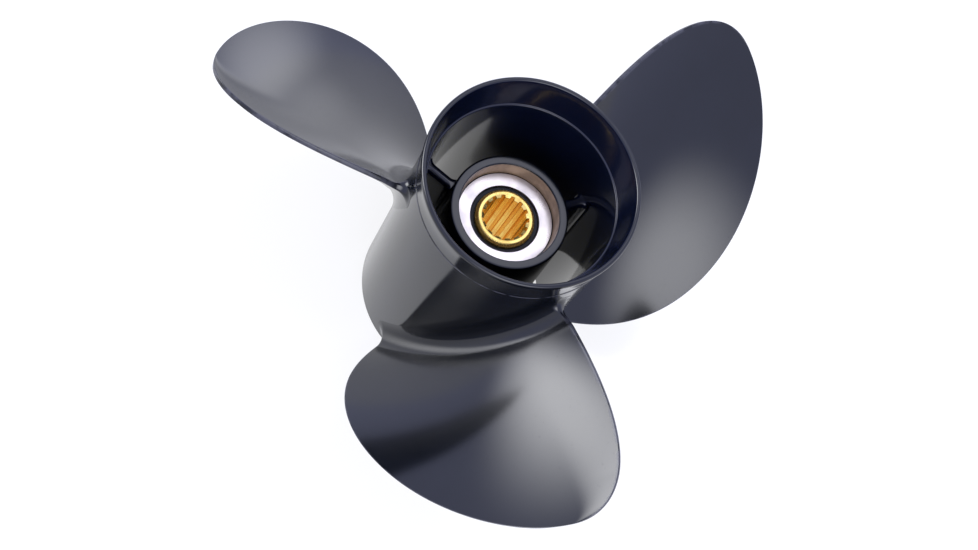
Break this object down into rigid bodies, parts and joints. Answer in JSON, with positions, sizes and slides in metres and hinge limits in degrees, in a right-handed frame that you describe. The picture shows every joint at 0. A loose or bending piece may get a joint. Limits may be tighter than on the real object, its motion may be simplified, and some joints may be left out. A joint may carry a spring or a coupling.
{
  "type": "boat propeller",
  "caption": "Right-hand outboard propeller: broad raked blades on a flared through-hub exhaust barrel, with a rubber-cushioned splined brass sleeve.",
  "frame": {"origin": "on the shaft axis, at the forward thrust end of the splined sleeve, in the mouth of its pilot bore", "axes": "+Z along the shaft, pointing aft; +X through the counting line of the first blade"},
  "size_m": [0.2907, 0.3033, 0.156],
  "materials": {
    "paint": "satin-gloss dark slate paint over cast aluminium",
    "bare_casting": "turned bare aluminium in the nut recess, painted outside",
    "rubber": "moulded black rubber",
    "brass": "turned and broached brass"
  },
  "bodies": {
    "sleeve": {"splined_sleeve": "brass"},
    "casting": {"barrel": "paint", "diffuser_ring": "paint", "inner_hub": "bare_casting", "web_1": "paint", "web_2": "paint", "web_3": "paint", "blade_1": "paint", "blade_2": "paint", "blade_3": "paint", "rubber_cushion": "rubber"}
  },
  "joints": [
    {"name": "cushion_twist", "type": "hinge", "parent": "sleeve", "child": "casting", "pos_m": [0, 0, 0.05], "axis": [0, 0, 1], "range_deg": [-10, 10], "stiffness_Nm_per_rad": 600}
  ]
}
